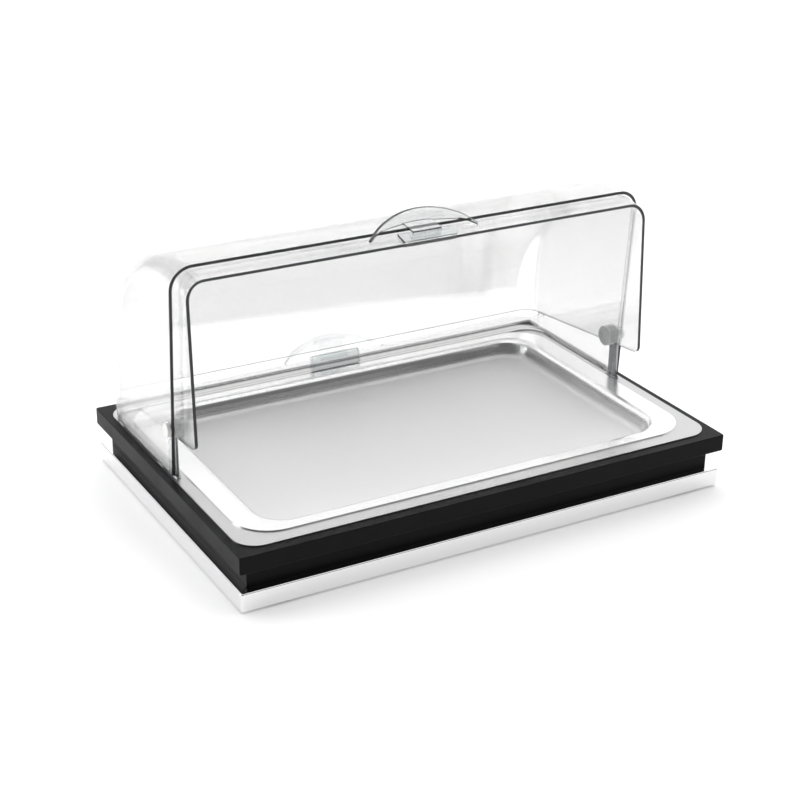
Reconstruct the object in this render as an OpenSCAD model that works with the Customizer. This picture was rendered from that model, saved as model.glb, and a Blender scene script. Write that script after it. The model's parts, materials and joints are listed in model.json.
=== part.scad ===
// Roll top display chafer: a polished plinth and a black frame carry a steel basin,
// a shallow serving tray and a clear two-part hood. The front half of the hood rolls
// back into the rear half about two pivots. The origin is on the table, midway
// between the frame's sides; +X runs along the pivots and -Y faces the guest.

/* [Plinth] */
// Length of the polished plinth
plinth_l = 570.3; // [562:0.1:590]
// Depth of the polished plinth
plinth_d = 378.6; // [370:0.1:390]
// Height of the plinth's face
plinth_h = 19.2; // [16:0.1:28]
// Width of the plinth's top flange
plinth_w = 20; // [17:1:24]
// Sheet thickness of the plinth
plinth_t = 1.5; // [1:0.1:2]
// Height of the gap that the feet leave under the plinth
foot_h = 3; // [2:0.5:6]

/* [Frame] */
// Length of the black top frame
frame_l = 573.5; // [572:0.1:590]
// Depth of the black top frame
frame_d = 383.2; // [380:0.1:392]
// Thickness of the black top frame
frame_h = 18.5; // [16:0.5:26]
// Width of the opening's margin on the short sides
frame_side = 24.5; // [22:0.5:26]
// Width of the opening's margin on the long sides
frame_front = 30.6; // [30:0.1:31]
// How far the neck stands back from the top frame
neck_inset = 12; // [10:0.5:14]
// Height of the neck between plinth and top frame
neck_h = 22.1; // [19:0.1:28]

/* [Basin] */
// Length over the basin's rim
basin_l = 557; // [556.5:0.5:562]
// Depth over the basin's rim
basin_d = 359; // [356:1:366]
// Sheet thickness of the basin
basin_t = 1.2; // [1:0.1:1.5]
// Height of the basin below the top frame's face
basin_drop = 50; // [46:1:50]
// Corner radius of the basin's rim
basin_r = 25; // [20:1:32]

/* [Tray] */
// Length over the tray's rim
tray_l = 530; // [528:1:531]
// Depth over the tray's rim
tray_d = 325; // [323:1:326]
// Depth of the tray's hollow
tray_drop = 19.5; // [15:0.5:22]
// Length of the tray's hollow
hollow_l = 470; // [460:1:490]
// Width of the tray's hollow
hollow_d = 286; // [280:1:296]
// Sheet thickness of the tray
tray_t = 1.2; // [0.8:0.1:1.5]

/* [Hood] */
// Outer radius of the rear half of the hood
hood_r = 179.2; // [178:0.1:181]
// Length over the rear half of the hood
hood_l = 556; // [555:0.5:557]
// Thickness of the clear sheet
hood_t = 3.4; // [3:0.1:3.6]
// Outer radius of the bend between the rear half's roof and sides
bend_r = 25; // [20:1:28]
// Outer radius of the bend between the front half's roof and sides
front_bend_r = 20; // [16:1:24]
// Height of the pivots above the basin's rim
pivot_h = 52; // [50:0.5:54]
// Distance of the pivots in front of the middle
pivot_y = -4; // [-6:0.5:-3]
// Angle that the front half is rolled back past the upright
open_past = 3; // [0:0.5:5]

/* [Grips] */
// Length of a grip
grip_l = 130; // [110:2:150]
// Reach of a grip out from the hood
grip_reach = 23.5; // [20:0.5:32]
// Rise of a grip's arch
grip_rise = 20; // [14:1:24]
// Length of the clip under a grip
clip_l = 62; // [50:2:80]

/* [Hidden] */
$fn = 96;

eps = 0.01;
// Play of a screw or spigot in its hole
hole_play = 0.1;
// A hair of room between pieces that are pushed together but stay separate
seat_gap = 0.05;

// Levels above the table
plinth_top = foot_h + plinth_h;
neck_top = plinth_top + neck_h;
frame_top = neck_top + frame_h;
rim_top = frame_top + basin_t;
tray_top = rim_top + tray_t;
basin_floor = frame_top - basin_drop + basin_t;
pan_bottom = foot_h + 0.5;
pan_floor = pan_bottom + plinth_t;
pivot_z = rim_top + pivot_h;

// Openings through the frames, from the middle outwards
plinth_in_l = plinth_l - 2 * plinth_w;
plinth_in_d = plinth_d - 2 * plinth_w - 4;
neck_l = frame_l - 2 * neck_inset;
neck_d = frame_d - 2 * neck_inset;
neck_wall = 11;
opening_l = frame_l - 2 * frame_side;
opening_d = frame_d - 2 * frame_front;
opening_r = 40;

// Rubber blocks in the plinth's corners and the pad under the pan
foot_l = 40;
foot_w = 14;
foot_x = 240;
foot_y = plinth_d / 2 - 11;
pad_d = 36;

// Basin bowl and tray bowl
bowl_l = opening_l - 3.6;
bowl_d = opening_d - 3.6;
bowl_r = opening_r - 2;
tray_r = 42;
hollow_r = 30;

// Cooling packs with two sunk panels and a filler cap each
pack_l = 236;
pack_d = 276;
pack_h = 24;
pack_r = 16;
pack_x = 124;
panel_l = 176;
panel_d = 60;
panel_r = 10;
panel_y = 62;
panel_drop = 2;
pack_cap_y = -114;
pack_cap_d = 24;
pack_cap_h = 5.5;
pack_recess_d = 30;
pack_recess_z = basin_floor + pack_h - 6;
coin_slot_l = 16;
coin_slot_w = 3;
coin_slot_h = 2;

// Shells, measured from the pivots: x outwards, y to the rear, z up
shell_gap = 0.6;
side_gap = 3.6;
front_r = hood_r - hood_t - shell_gap;
rear_half = hood_l / 2;
front_half = rear_half - hood_t - side_gap;
edge_lift = 1.6;
edge_lead = pivot_h - edge_lift;
rear_lead = 7;
rear_lean = 3.8;
clip_w = 16;
clip_play = 0.15;
clip_lip = 1.2;
clip_out = 2.3;
clip_in = 1;
tip_back = 11;
leaf_t = 3;
leaf_lean = 11;
leaf_lift = shell_gap + hood_t + 0.8;
web_t = 1.6;
web_back = 6;
leaf_sink = 8;
heel_drop = 9.8;
heel_slope = 2.7;
toe_r = 8;

// Hinge
bolt_d = 8;
run_gap = 0.05;
bush_d = 12;
post_w = 14;
post_t = 3;
post_foot_l = 22;
post_foot_w = 8;
post_foot_h = 1.2;
post_in = front_half + 0.3;
boss_d = 20;
knob_d = 16;
knob_w = 8;
knob_out = front_half - hood_t - 0.9;
bush_lip = 0.5;
cap_d = 15;
cap_w = 4;
spigot_d = 2.6;
spigot_l = 8;
spigot_y = 7;
peg_d = 6;
peg_y = 150;
buffer_y = [20, 130];
buffer_w = 2.4;
buffer_l = 12;

// Screws
screw_d = 5;
screw_head_d = 8;
screw_inset = 4;
side_screw_y = 100;
front_screw_x = 120;
socket_d = 3;
socket_h = 2;
screw_head_h = 3;
screw_reach = 12;
pan_screw_d = 3;
pan_rise = 12;
pan_screw_x = [-180, 0, 180];
pan_screw_l = 5;
pan_screw_z = 7;
pan_head_d = 6;
pan_head_h = 1.5;
pan_gap = 1;
pan_r = 2;
foam_gap = 5;
foam_h = 6;

// ---------- shared shapes ----------

// Flat outline with four round corners
module outline(l, d, r) {
    square([l - 2 * r, d], center = true);
    square([l, d - 2 * r], center = true);
    for (sx = [-1, 1], sy = [-1, 1])
        translate([sx * (l / 2 - r), sy * (d / 2 - r)]) circle(r);
}

// Upright block with round corners, standing on z
module block(l, d, r, z, h) {
    translate([0, 0, z]) linear_extrude(h) outline(l, d, r);
}

// Cylinder along X from x0 to x1, centred on the pivots
module along_x(d, x0, x1) {
    translate([x0, 0, 0]) rotate([0, 90, 0]) cylinder(d = d, h = x1 - x0);
}

// Puts children at the pivots' height and distance
module at_pivots() {
    translate([0, pivot_y, pivot_z]) children();
}

// Left or right copy of a hinge piece drawn on the right
module on_side(side) {
    mirror([side < 0 ? 1 : 0, 0, 0]) children();
}

// Half outline of a drum: radius r, half length half, ends rounded by bend
module drum_outline(r, half, bend) {
    square([r - bend, half]);
    square([r, half - bend]);
    translate([r - bend, half - bend]) circle(bend);
}

// Full drum along X
module drum(r, half, bend) {
    rotate([0, 90, 0]) rotate_extrude()
        union() {
            intersection() {
                drum_outline(r, half, bend);
                square([r + 1, half + 1]);
            }
            mirror([0, 1]) intersection() {
                drum_outline(r, half, bend);
                square([r + 1, half + 1]);
            }
        }
}

// Hollow drum with walls of the clear sheet
module drum_wall(r, half, bend) {
    difference() {
        drum(r, half, bend);
        drum(r - hood_t, half - hood_t, bend - hood_t);
    }
}

// Extrudes a y-z outline across the whole hood
module across() {
    rotate([90, 0, 90])
        translate([0, 0, -hood_l / 2 - 10]) linear_extrude(hood_l + 20) children();
}

// Tube sector along X between two radii, half length half, limited to y0..y1 above the pivots
module rim_band(r_in, r_out, half, y0, y1) {
    intersection() {
        rotate([0, 90, 0]) difference() {
            cylinder(r = r_out, h = 2 * half, center = true, $fn = 180);
            cylinder(r = r_in, h = 2 * half + 2, center = true, $fn = 180);
        }
        translate([-half - 1, y0, 0]) cube([2 * half + 2, y1 - y0, r_out + 1]);
    }
}

// Leans a piece of the front half back as far as it is rolled past the upright
module rolled_back() {
    rotate([-open_past, 0, 0]) children();
}

// Turns a piece of the upright front edge into its place on the rear half's lower edge
module on_rear_edge() {
    mirror([0, 1, 0]) rotate([90, 0, 0]) children();
}

// Grip on a shell of radius r: an arched leaf that stands out from the roof, lifted so that
// it clears the other half, on a web that ends on the clip
module grip(r) {
    arch_r = (pow(grip_l / 2, 2) + pow(grip_rise, 2)) / (2 * grip_rise);
    leaf_r = (pow(grip_l / 2, 2) + pow(grip_reach, 2)) / (2 * grip_reach);
    tip_y = -edge_lead + tip_back;
    // Leaf: an arch seen from above, cut to a lens seen from the front
    intersection() {
        translate([0, 0, r]) rotate([leaf_lean, 0, 0]) translate([0, 0, -leaf_sink])
            intersection() {
                translate([0, tip_y + grip_rise - arch_r, 0]) difference() {
                    cylinder(r = arch_r + leaf_t, h = grip_reach + leaf_sink, $fn = 180);
                    translate([0, 0, -1]) cylinder(r = arch_r, h = 3 * grip_reach, $fn = 180);
                }
                translate([0, -grip_l, grip_reach + leaf_sink - leaf_r]) rotate([-90, 0, 0])
                    cylinder(r = leaf_r, h = 2 * grip_l, $fn = 180);
                translate([-grip_l, tip_y, 0])
                    cube([2 * grip_l, grip_rise + leaf_t, grip_reach + leaf_sink]);
            }
        difference() {
            translate([-grip_l, -edge_lead, 0]) cube([2 * grip_l, edge_lead, 2 * r]);
            rotate([0, 90, 0])
                cylinder(r = r + leaf_lift, h = 3 * grip_l, center = true, $fn = 180);
        }
    }
    rim_band(r + leaf_lift, r + leaf_lift + web_t, clip_l / 2 - 3, -edge_lead + web_back,
        tip_y + grip_rise + 1);
    rim_band(r + clip_out + seat_gap, r + leaf_lift + web_t, clip_l / 2 - 3,
        -edge_lead + web_back, -edge_lead + 2 * web_back);
}

// Clip on the edge of a shell of radius r: a channel that holds the sheet
module clip(r) {
    difference() {
        rim_band(r - hood_t - clip_in, r + clip_out, clip_l / 2, -edge_lead - clip_lip,
            -edge_lead + clip_w);
        rim_band(r - hood_t - clip_play, r + clip_play, clip_l, -edge_lead - clip_play,
            -edge_lead + 2 * clip_w);
    }
}

// ---------- base ----------

// Positions of the screws that hold plinth, neck and top frame together
module at_frame_screws() {
    for (sx = [-1, 1], sy = [-1, 1]) {
        translate([sx * (neck_l / 2 - screw_inset), sy * side_screw_y, 0]) children();
        translate([sx * front_screw_x, sy * (neck_d / 2 - screw_inset), 0]) children();
    }
}

// Positions of the small screws through the plinth's inner wall, pointing to -Y
module at_pan_screws() {
    for (sy = [-1, 1], x = pan_screw_x)
        translate([x, sy * plinth_in_d / 2, pan_floor + pan_screw_z])
            rotate([sy * 90, 0, 0]) children();
}

// Clearance hole for one of those small screws
module pan_screw_hole() {
    translate([0, 0, -pan_screw_l])
        cylinder(d = pan_screw_d + 2 * hole_play, h = 2 * pan_screw_l);
}

// Polished channel: outer face, top flange and inner wall, open underneath
module plinth_frame() {
    color("gainsboro") difference() {
        block(plinth_l, plinth_d, 1.5, foot_h, plinth_h);
        block(plinth_in_l, plinth_in_d, 1, foot_h - 1, plinth_h + 2);
        difference() {
            block(plinth_l - 2 * plinth_t, plinth_d - 2 * plinth_t, 1, foot_h - 1,
                plinth_h - plinth_t + 1);
            block(plinth_in_l + 2 * plinth_t, plinth_in_d + 2 * plinth_t, 1, foot_h - 2,
                plinth_h + 3);
        }
        at_frame_screws() cylinder(d = screw_d + 5 * hole_play, h = plinth_top + 1);
        at_pan_screws() pan_screw_hole();
    }
}

// Rubber blocks inside the plinth's corners that stand on the table, and a pad under the pan
module plinth_feet() {
    color("dimgray") {
        for (sx = [-1, 1], sy = [-1, 1])
            translate([sx * foot_x - foot_l / 2, sy * foot_y - foot_w / 2, 0])
                cube([foot_l, foot_w, plinth_top - plinth_t]);
        cylinder(d = pad_d, h = pan_bottom);
    }
}

// Sheet pan that closes the plinth from below
module base_pan() {
    color("darkgray") difference() {
        block(plinth_in_l - pan_gap, plinth_in_d - pan_gap, pan_r, pan_bottom, pan_rise);
        block(plinth_in_l - pan_gap - 2 * plinth_t, plinth_in_d - pan_gap - 2 * plinth_t,
            pan_r / 2, pan_floor, pan_rise);
        at_pan_screws() pan_screw_hole();
    }
}

// Screws from inside the channel through the plinth wall and the pan's skirt
module pan_screws() {
    color("silver") at_pan_screws() {
        translate([0, 0, -plinth_t - pan_head_h]) cylinder(d = pan_head_d, h = pan_head_h);
        translate([0, 0, -plinth_t - eps]) cylinder(d = pan_screw_d, h = pan_screw_l);
    }
}

// Foam board between the pan and the basin
module insulation_board() {
    color("ivory") block(plinth_in_l - 2 * foam_gap, plinth_in_d - 2 * foam_gap,
        pan_r + foam_gap - pan_gap, pan_floor, foam_h);
}

// Black neck that lifts the top frame off the plinth
module neck_frame() {
    color("black") difference() {
        block(neck_l, neck_d, 1.5, plinth_top, neck_h);
        block(neck_l - 2 * neck_wall, neck_d - 2 * neck_wall, 4, plinth_top - 1, neck_h + 2);
        at_frame_screws() cylinder(d = screw_d + 5 * hole_play, h = frame_top);
    }
}

// Black top frame with the opening that the basin hangs in
module top_frame() {
    color("black") difference() {
        block(frame_l, frame_d, 1.5, neck_top, frame_h);
        block(opening_l, opening_d, opening_r, neck_top - 1, frame_h + 2);
        at_frame_screws()
            cylinder(d = screw_d + 2 * run_gap, h = neck_top + screw_reach);
        for (side = [-1, 1])
            on_side(side) at_spigots() spigot_hole();
    }
}

// Long screws from the plinth up into the top frame
module frame_screws() {
    flange = plinth_top - plinth_t;
    color("silver") at_frame_screws() {
        translate([0, 0, flange - screw_head_h]) difference() {
            cylinder(d = screw_head_d, h = screw_head_h);
            translate([0, 0, -1]) cylinder(d = socket_d, h = 1 + socket_h, $fn = 6);
        }
        translate([0, 0, flange - eps])
            cylinder(d = screw_d, h = neck_top + screw_reach - 1 - flange);
    }
}

// ---------- basin and what lies in it ----------

// Places of the posts' spigots on the right side, at the rim's height
module at_spigots() {
    for (dy = [-spigot_y, spigot_y])
        translate([post_in + post_t / 2, pivot_y + dy, rim_top]) children();
}

// Clearance hole for a spigot
module spigot_hole() {
    translate([0, 0, -spigot_l - 1]) cylinder(d = spigot_d + 10 * hole_play, h = 2 * spigot_l);
}

// Steel basin whose flat rim lies on the top frame
module steel_basin() {
    color("lightgray") difference() {
        union() {
            block(basin_l, basin_d, basin_r, frame_top, basin_t);
            block(bowl_l, bowl_d, bowl_r, frame_top - basin_drop, basin_drop + eps);
        }
        block(bowl_l - 2 * basin_t, bowl_d - 2 * basin_t, bowl_r - basin_t, basin_floor,
            2 * basin_drop);
        for (side = [-1, 1])
            on_side(side) at_spigots() spigot_hole();
    }
}

// One flat cooling pack, x_mid from the middle
module cooling_pack(x_mid) {
    translate([x_mid, 0, 0]) difference() {
        block(pack_l, pack_d, pack_r, basin_floor, pack_h);
        translate([0, pack_cap_y, pack_recess_z]) cylinder(d = pack_recess_d, h = pack_h);
        for (row = [-1, 1])
            translate([0, row * panel_y, 0])
                block(panel_l, panel_d, panel_r, basin_floor + pack_h - panel_drop, pack_h);
    }
}

module cooling_pack_left() {
    color("lightskyblue") cooling_pack(-pack_x);
}

module cooling_pack_right() {
    color("lightskyblue") cooling_pack(pack_x);
}

// Filler caps in the packs' recesses
module pack_caps() {
    color("steelblue") for (side = [-1, 1])
        translate([side * pack_x, pack_cap_y, pack_recess_z]) difference() {
            cylinder(d = pack_cap_d, h = pack_cap_h);
            translate([-coin_slot_l / 2, -coin_slot_w / 2, pack_cap_h - coin_slot_h])
                cube([coin_slot_l, coin_slot_w, pack_cap_h]);
        }
}

// Serving tray: wide flat rim and a shallow hollow
module serving_tray() {
    color("silver") difference() {
        union() {
            block(tray_l, tray_d, tray_r, rim_top, tray_t);
            block(hollow_l + 2 * tray_t, hollow_d + 2 * tray_t, hollow_r + tray_t,
                tray_top - tray_drop - tray_t, tray_drop);
        }
        block(hollow_l, hollow_d, hollow_r, tray_top - tray_drop, 2 * tray_drop);
    }
}

// ---------- hinge ----------

// Flat steel post between the two shells, on a small foot, with a round head for the bolt
module hinge_post(side) {
    on_side(side) color("silver") {
        difference() {
            at_pivots() translate([post_in, 0, 0]) {
                along_x(boss_d, 0, post_t);
                translate([0, -post_w / 2, -pivot_h]) cube([post_t, post_w, pivot_h]);
                translate([(post_t - post_foot_w) / 2, -post_foot_l / 2, -pivot_h])
                    cube([post_foot_w, post_foot_l, post_foot_h]);
            }
            at_pivots() along_x(bolt_d + 2 * seat_gap, post_in - 1, post_in + post_t + 1);
        }
        at_spigots() translate([0, 0, -spigot_l]) cylinder(d = spigot_d, h = spigot_l + eps);
    }
}

module hinge_post_left() {
    hinge_post(-1);
}

module hinge_post_right() {
    hinge_post(1);
}

// Clear bolt with a knob inside the hood; its shank carries both shells
module pivot_bolt(side) {
    on_side(side) color("whitesmoke") at_pivots() {
        along_x(knob_d, knob_out - knob_w, knob_out);
        along_x(bolt_d, knob_out - eps, rear_half + cap_w - 1);
    }
}

module pivot_bolt_left() {
    pivot_bolt(-1);
}

module pivot_bolt_right() {
    pivot_bolt(1);
}

// White cap that closes the bolt outside the hood
module pivot_cap(side) {
    on_side(side) color("white") at_pivots() difference() {
        along_x(cap_d, rear_half + seat_gap, rear_half + cap_w);
        along_x(bolt_d + 2 * seat_gap, rear_half - 1, rear_half + cap_w - 1 + seat_gap);
    }
}

module pivot_cap_left() {
    pivot_cap(-1);
}

module pivot_cap_right() {
    pivot_cap(1);
}

// ---------- hood ----------

// Side view of the rear half: a leading edge that leans forward and a level lower edge
module rear_side() {
    intersection() {
        rotate(rear_lean) translate([-rear_lead, -hood_r]) square(2 * hood_r);
        translate([-hood_r, -edge_lead]) square([2 * hood_r + 5, 2 * hood_r]);
    }
}

// Clear rear half: roof, sides and back down to the basin's rim
module rear_shell() {
    color("aliceblue") at_pivots() difference() {
        intersection() {
            drum_wall(hood_r, rear_half, bend_r);
            across() rear_side();
        }
        for (side = [-1, 1])
            on_side(side) along_x(bolt_d + 2 * seat_gap, rear_half - 10, rear_half + 5);
    }
}

module rear_grip() {
    color("aliceblue") at_pivots() on_rear_edge() grip(hood_r);
}

module rear_clip() {
    color("aliceblue") at_pivots() on_rear_edge() clip(hood_r);
}

// Soft pads between the rear half's lower edge and the basin's rim
module rear_buffers() {
    color("gainsboro") for (sx = [-1, 1], y = buffer_y)
        translate([sx * (rear_half - hood_t / 2) - buffer_w / 2, y, rim_top])
            cube([buffer_w, buffer_l, edge_lift]);
}

// Pegs inside the rear half that stop the front half when it is rolled back
module stop_pegs() {
    peg_z = -heel_drop - peg_y * tan(heel_slope) - peg_d / 2 - 0.3;
    color("aliceblue") for (side = [-1, 1])
        on_side(side) at_pivots() rolled_back() translate([0, peg_y, peg_z])
            along_x(peg_d, front_half - hood_t, rear_half - hood_t);
}

// Side view of the front half with its front edge upright and a sloping lower edge
module front_side() {
    reach = front_r + 5;
    front_z = -heel_drop + edge_lead * tan(heel_slope);
    difference() {
        polygon([[-edge_lead, front_z], [reach, -heel_drop - reach * tan(heel_slope)],
            [reach, reach], [-edge_lead, reach]]);
        translate([-edge_lead - 1, front_z - 1]) square(toe_r + 0.3);
    }
    translate([-edge_lead + toe_r, front_z + toe_r - 0.6]) circle(toe_r);
}

// Clear front half: roof and sides, with round holes for the bushings
module front_shell() {
    color("aliceblue") at_pivots() difference() {
        intersection() {
            drum_wall(front_r, front_half, front_bend_r);
            across() rotate(-open_past) front_side();
        }
        for (side = [-1, 1])
            on_side(side) along_x(bush_d + 2 * seat_gap, front_half - 10, front_half + 5);
    }
}

// Bushings in the front half's sides that turn on the bolts
module front_bushings() {
    color("white") for (side = [-1, 1])
        on_side(side) at_pivots() difference() {
            union() {
                along_x(bush_d, front_half - hood_t - bush_lip, front_half);
                along_x(bush_d + 3, front_half - hood_t - bush_lip,
                    front_half - hood_t - seat_gap);
            }
            along_x(bolt_d + 2 * run_gap, front_half - 10, front_half + 5);
        }
}

module front_grip() {
    color("aliceblue") at_pivots() rolled_back() grip(front_r);
}

module front_clip() {
    color("aliceblue") at_pivots() rolled_back() clip(front_r);
}

plinth_frame();
plinth_feet();
base_pan();
pan_screws();
insulation_board();
neck_frame();
top_frame();
frame_screws();
steel_basin();
cooling_pack_left();
cooling_pack_right();
pack_caps();
serving_tray();
hinge_post_left();
hinge_post_right();
pivot_bolt_left();
pivot_bolt_right();
pivot_cap_left();
pivot_cap_right();
rear_shell();
rear_grip();
rear_clip();
rear_buffers();
stop_pegs();
front_shell();
front_bushings();
front_grip();
front_clip();
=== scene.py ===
import json
from math import asin, atan2, cos, hypot, pi, radians, sin, tan

import bmesh
import bpy
from mathutils import Matrix, Quaternion, Vector

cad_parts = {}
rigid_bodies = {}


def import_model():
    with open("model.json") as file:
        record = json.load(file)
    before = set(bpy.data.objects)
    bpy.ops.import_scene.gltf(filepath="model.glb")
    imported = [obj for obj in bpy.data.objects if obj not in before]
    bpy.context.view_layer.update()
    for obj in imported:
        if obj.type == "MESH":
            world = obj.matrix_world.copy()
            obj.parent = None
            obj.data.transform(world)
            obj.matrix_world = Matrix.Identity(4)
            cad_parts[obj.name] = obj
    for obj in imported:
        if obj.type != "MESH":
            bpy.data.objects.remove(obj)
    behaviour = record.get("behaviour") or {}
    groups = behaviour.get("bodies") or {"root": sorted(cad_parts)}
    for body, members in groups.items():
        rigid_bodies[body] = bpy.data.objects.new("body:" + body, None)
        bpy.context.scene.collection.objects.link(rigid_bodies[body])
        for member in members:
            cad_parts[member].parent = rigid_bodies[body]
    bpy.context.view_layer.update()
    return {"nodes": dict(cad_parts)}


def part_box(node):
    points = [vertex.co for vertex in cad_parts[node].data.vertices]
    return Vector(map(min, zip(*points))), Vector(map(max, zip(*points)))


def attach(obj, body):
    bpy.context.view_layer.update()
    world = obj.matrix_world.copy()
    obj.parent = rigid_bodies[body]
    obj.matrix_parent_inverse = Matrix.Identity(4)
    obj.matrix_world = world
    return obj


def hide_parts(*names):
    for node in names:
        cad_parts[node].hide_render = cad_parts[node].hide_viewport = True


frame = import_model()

# ---- Plinth ----
# The foot of the server: 1.5 mm stainless sheet folded into a channel, mitred and welded
# into a frame, then ground and mirror polished. It stands on rubber blocks.

MM = 0.001


def begin(name, primitive, **size):
    """Adds a primitive as a new piece, puts its place into its mesh and opens it for editing."""
    if bpy.context.mode != "OBJECT":
        bpy.ops.object.mode_set(mode="OBJECT")
    bpy.ops.object.select_all(action="DESELECT")
    primitive(**size)
    piece = bpy.context.object
    piece.name = piece.data.name = name
    bpy.ops.object.transform_apply(location=True, rotation=True, scale=True)
    bpy.ops.object.mode_set(mode="EDIT")
    return piece


def choose(kind, place=lambda p: True, facing=None):
    """Selects the corners, edges or faces that lie wholly at a place and face a direction."""
    bpy.ops.mesh.select_mode(type=kind)
    bpy.ops.mesh.select_all(action="DESELECT")
    mesh = bmesh.from_edit_mesh(bpy.context.object.data)
    for part in {"VERT": mesh.verts, "EDGE": mesh.edges, "FACE": mesh.faces}[kind]:
        corners = [part] if kind == "VERT" else part.verts
        part.select_set(all(place(corner.co) for corner in corners) and
                        (facing is None or part.normal.dot(Vector(facing)) > 0.9))
    mesh.select_flush_mode()
    bmesh.update_edit_mesh(bpy.context.object.data)


def on(length, depth, radius, level):
    """A test for points on a level outline with round corners."""
    def test(p):
        x, y = abs(p.x) - length / 2 + radius, abs(p.y) - depth / 2 + radius
        away = hypot(max(x, 0), max(y, 0)) + min(max(x, y), 0) - radius
        return abs(p.z - level) < 1e-6 and abs(away) < 2e-5
    return test


def loft(name, rings, closed=False, floor=False, lid=False):
    """A skin through level outlines (length, depth, corner radius, level), in their order.

    closed joins the last outline to the first; floor fills the last and lid fills the first.
    """
    piece = begin(name, bpy.ops.mesh.primitive_plane_add, size=1)
    bpy.ops.mesh.delete(type="VERT")
    for length, depth, radius, level in rings:
        bpy.ops.mesh.primitive_plane_add(size=1, location=(0, 0, level))
        bpy.ops.transform.resize(value=(length, depth, 1), center_override=(0, 0, level))
        bpy.ops.mesh.bevel(offset=radius, segments=12, affect="VERTICES")
        bpy.ops.mesh.delete(type="ONLY_FACE")
    for first, second in zip(rings, rings[1:] + (rings[:1] if closed else [])):
        choose("EDGE", lambda p: on(*first)(p) or on(*second)(p))
        bpy.ops.mesh.bridge_edge_loops()
    for wanted, ring in ((floor, rings[-1]), (lid, rings[0])):
        if wanted:
            choose("EDGE", on(*ring))
            bpy.ops.mesh.edge_face_add()
    bpy.ops.mesh.select_all(action="SELECT")
    bpy.ops.mesh.normals_make_consistent(inside=False)
    return piece


def face_up(place):
    """Turns a whole skin over if its faces at a place look down."""
    choose("FACE", place)
    faces = bmesh.from_edit_mesh(bpy.context.object.data).faces
    if any(face.select and face.normal.z < 0 for face in faces):
        bpy.ops.mesh.select_all(action="SELECT")
        bpy.ops.mesh.flip_normals()


def round_edges(place, offset, segments=4):
    """Rounds the edges at a place."""
    choose("EDGE", place)
    bpy.ops.mesh.bevel(offset=offset, segments=segments, affect="EDGES", clamp_overlap=True)


def thicken(piece, thickness, rim_material=0):
    """Gives a skin the thickness of its sheet, inwards from its faces."""
    bpy.ops.object.mode_set(mode="OBJECT")
    wall = piece.modifiers.new("wall", "SOLIDIFY")
    wall.thickness, wall.offset, wall.use_even_offset = thickness, -1, True
    wall.material_offset_rim = rim_material
    bpy.ops.object.modifier_apply(modifier="wall")


def done(piece, body, materials, replaced=(), angle=30):
    """Shades a finished piece, gives it its materials and ties it to its body."""
    if bpy.context.mode != "OBJECT":
        bpy.ops.object.mode_set(mode="OBJECT")
    bpy.ops.object.shade_smooth_by_angle(angle=radians(angle))
    even = piece.modifiers.new("even", "WEIGHTED_NORMAL")
    even.weight, even.keep_sharp = 100, True
    bpy.context.view_layer.objects.active = piece
    bpy.ops.object.modifier_apply(modifier="even")
    for index, material in enumerate(materials):
        if index < len(piece.data.materials):
            piece.data.materials[index] = material
        else:
            piece.data.materials.append(material)
    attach(piece, body)
    if replaced:
        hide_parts(*replaced)
    return piece


def linear(code):
    """An sRGB hex colour in linear light."""
    parts = [int(code[i:i + 2], 16) / 255 for i in (1, 3, 5)]
    return [c / 12.92 if c <= 0.04045 else ((c + 0.055) / 1.055) ** 2.4 for c in parts] + [1]


def surface(name, colour, **values):
    """A new material; what is the same all over it is set on its shader's own sockets."""
    material = bpy.data.materials.new(name)
    material.use_nodes = True
    shader = material.node_tree.nodes["Principled BSDF"]
    shader.inputs["Base Color"].default_value = linear(colour)
    for socket, value in values.items():
        shader.inputs[socket.replace("_", " ")].default_value = value
    return material


def add(material, kind, inputs=None, feeds=None, **settings):
    """Adds a node with its settings and links; feeds names the shader socket that takes it."""
    tree = material.node_tree
    node = tree.nodes.new("ShaderNode" + kind)
    for setting, value in settings.items():
        setattr(node, setting, value)
    for socket, value in (inputs or {}).items():
        if isinstance(value, bpy.types.NodeSocket):
            tree.links.new(value, node.inputs[socket])
        else:
            node.inputs[socket].default_value = value
    if feeds:
        tree.links.new(node.outputs[0], tree.nodes["Principled BSDF"].inputs[feeds])
    return node


# Mirror-polished stainless steel: almost a mirror, with the soft haze and the faint long
# waves that a polishing mop leaves. The lines are drawn 1.5 mm apart so that they show.
mirror_steel = surface("stainless_steel_mirror_polished", "#F0F0F1", Metallic=1.0)
place = add(mirror_steel, "TexCoord").outputs["Object"]
haze = add(mirror_steel, "TexNoise", {"Vector": place, "Scale": 22.0, "Detail": 3.0})
add(mirror_steel, "MapRange", {"Value": haze.outputs["Fac"], "From Min": 0.35, "From Max": 0.7,
                               "To Min": 0.07, "To Max": 0.16}, feeds="Roughness")
stretched = add(mirror_steel, "Mapping", {"Vector": place, "Scale": (8, 8, 400)})
lines = add(mirror_steel, "TexNoise", {"Vector": stretched.outputs[0], "Scale": 1.5,
                                       "Detail": 4.0})
add(mirror_steel, "Bump", {"Height": lines.outputs["Fac"], "Strength": 0.06, "Distance": 0.0002},
    feeds="Normal")

low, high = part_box("plinth_frame")
flange, sheet = 20 * MM, 1.5 * MM
outer = (high.x * 2, high.y * 2, 2.5 * MM)
inner = (outer[0] - 2 * flange, outer[1] - 2 * flange - 4 * MM, 1.5 * MM)
plinth = loft("plinth_channel", [(*outer, low.z), (*outer, high.z), (*inner, high.z),
                                 (*inner, low.z)])
round_edges(on(*outer, high.z), 1.8 * MM, 5)
round_edges(on(*inner, high.z), 1.2 * MM, 3)
thicken(plinth, sheet)
done(plinth, "base", [mirror_steel], ["plinth_frame"])

# ---- Feet ----
# Four blocks and one pad of moulded nitrile rubber, pressed into the channel's corners and
# stuck under the pan. Their corners are soft from the mould.

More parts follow.
